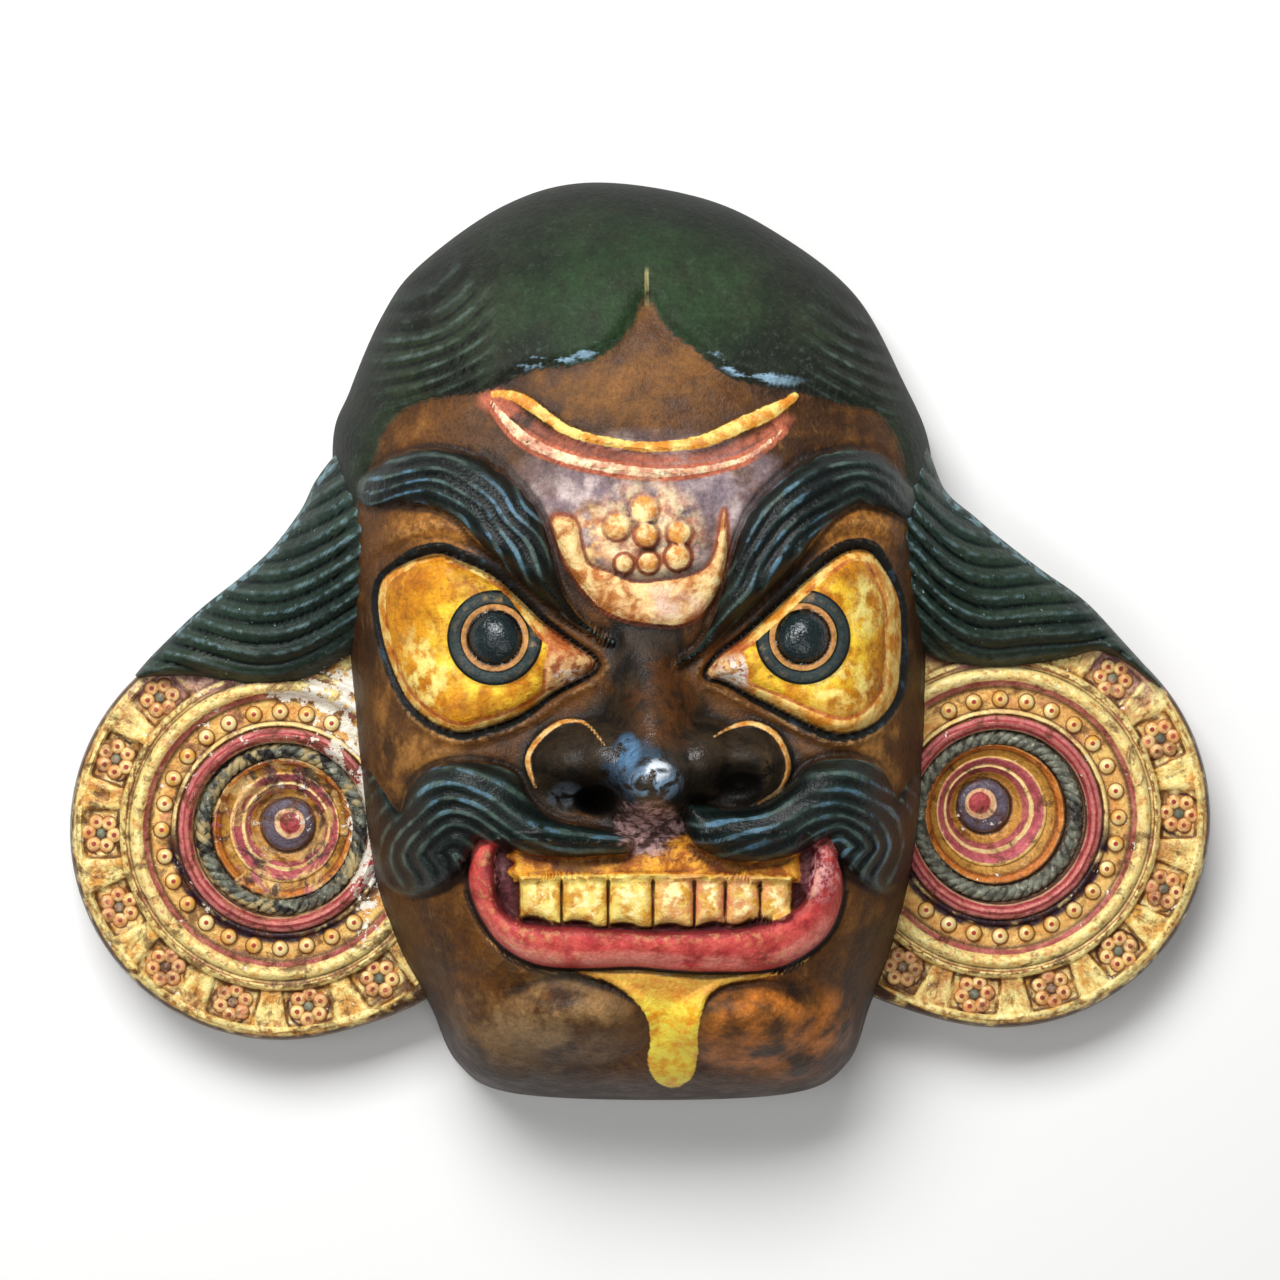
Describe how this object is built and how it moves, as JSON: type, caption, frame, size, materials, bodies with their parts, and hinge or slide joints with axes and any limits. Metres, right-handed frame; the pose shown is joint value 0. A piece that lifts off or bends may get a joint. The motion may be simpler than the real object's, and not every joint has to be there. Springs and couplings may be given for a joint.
{
  "type": "tibetan cham mask",
  "caption": "Carved wood dance mask with a grimacing face, slanted gold eyes, a curling moustache, bared gold teeth and wide disc ears.",
  "frame": {"origin": "centre of the bounding box at the back rim's plane", "axes": "+Z out of the face, +Y towards the crown, +X across the face"},
  "size_m": [0.456, 0.3666, 0.139],
  "materials": {
    "painted_wood": "lacquered distemper paint, worn, with gilding on the ears and eyes"
  },
  "bodies": {
    "root": {"mask": "painted_wood"}
  },
  "joints": []
}
